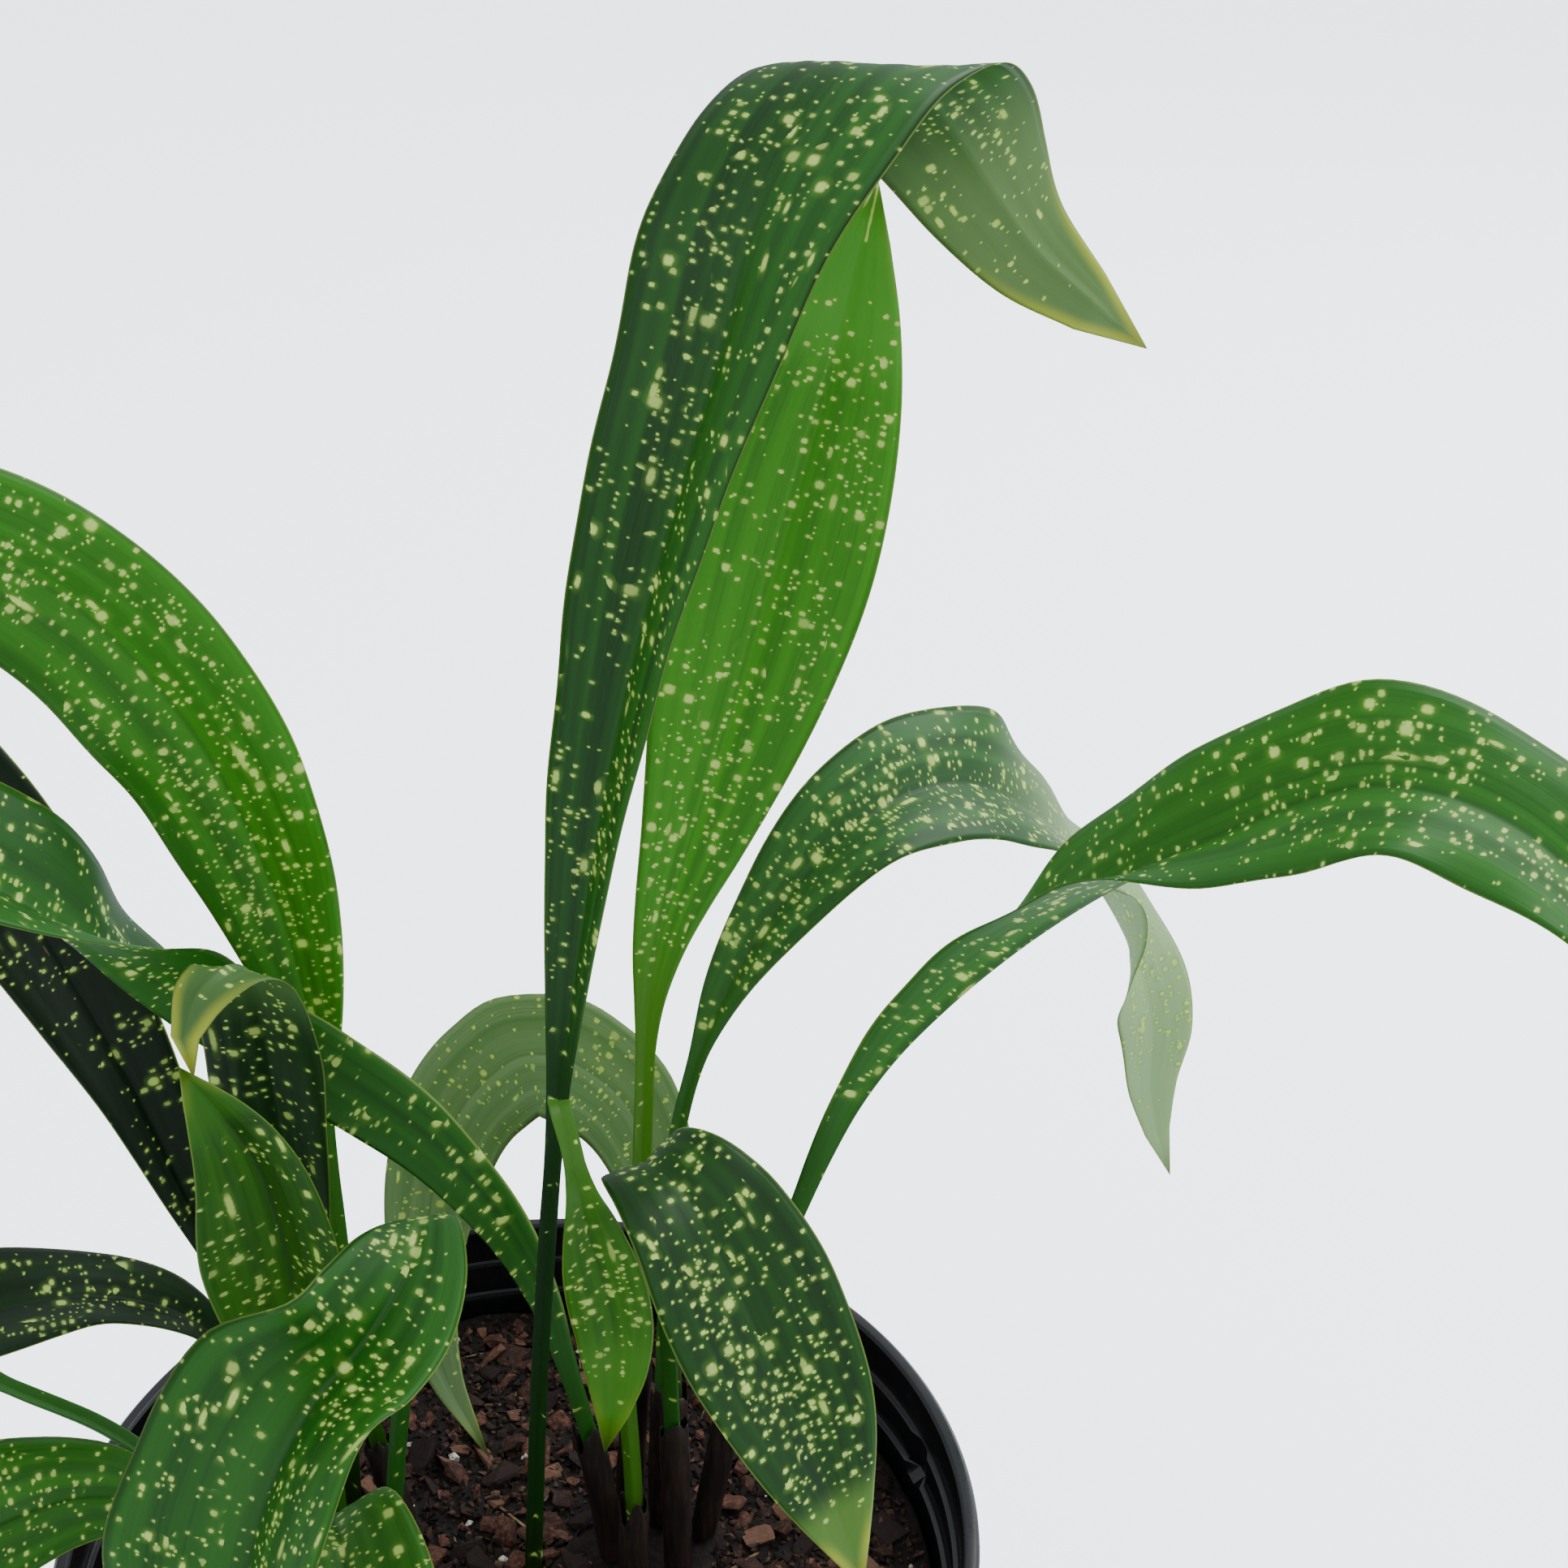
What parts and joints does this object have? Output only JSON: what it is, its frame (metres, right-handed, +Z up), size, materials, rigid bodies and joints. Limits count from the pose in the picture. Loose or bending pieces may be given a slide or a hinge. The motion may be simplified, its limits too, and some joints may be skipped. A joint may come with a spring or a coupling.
{
  "type": "potted cast iron plant",
  "caption": "Broad-leaved foliage plant with arching speckled leaves on channelled stalks, growing from rhizomes in bark mix in a round tapered nursery pot; stands on its pot.",
  "frame": {"origin": "centre of the underside of the pot", "axes": "+Z up from the pot's underside, +X to the right and +Y to the back as seen from the front"},
  "size_m": [0.486, 0.2749, 0.5582],
  "materials": {
    "pot_black": "injection-moulded black nursery plastic with a soft sheen",
    "bark_mix": "loose dark bark mix",
    "rhizome_brown": "rough dry rhizome skin",
    "leaf_mid_green": "smooth leathery leaf with a waxy sheen and pale spots",
    "leaf_bright_green": "smooth leathery leaf with a waxy sheen and pale spots",
    "leaf_dark_green": "smooth leathery leaf with a waxy sheen and pale spots",
    "leaf_grey_green": "dull greyish leaf",
    "sheath_brown": "dry papery leaf sheath"
  },
  "bodies": {
    "root": {"nursery_pot": "pot_black", "potting_mix": "bark_mix", "rhizome_right": "rhizome_brown", "rhizome_left": "rhizome_brown", "leaf_tall": "leaf_dark_green", "leaf_bright": "leaf_bright_green", "leaf_mid_right": "leaf_mid_green", "leaf_far_right": "leaf_mid_green", "leaf_front_droop": "leaf_mid_green", "leaf_short": "leaf_bright_green", "leaf_upper_left": "leaf_mid_green", "leaf_long_left": "leaf_mid_green", "leaf_dark_left": "leaf_dark_green", "leaf_curled_left": "leaf_dark_green", "leaf_folded_left": "leaf_bright_green", "leaf_front_left": "leaf_mid_green", "leaf_low_left": "leaf_dark_green", "leaf_bottom_left": "leaf_mid_green", "leaf_outer_left": "leaf_mid_green", "leaf_under_left": "leaf_mid_green", "leaf_back": "leaf_grey_green", "sheath_bright": "sheath_brown", "sheath_mid_right": "sheath_brown", "sheath_far_right": "sheath_brown", "sheath_front_droop": "sheath_brown", "sheath_short": "sheath_brown", "sheath_upper_left": "sheath_brown", "sheath_long_left": "sheath_brown", "sheath_back": "sheath_brown"}
  },
  "joints": []
}
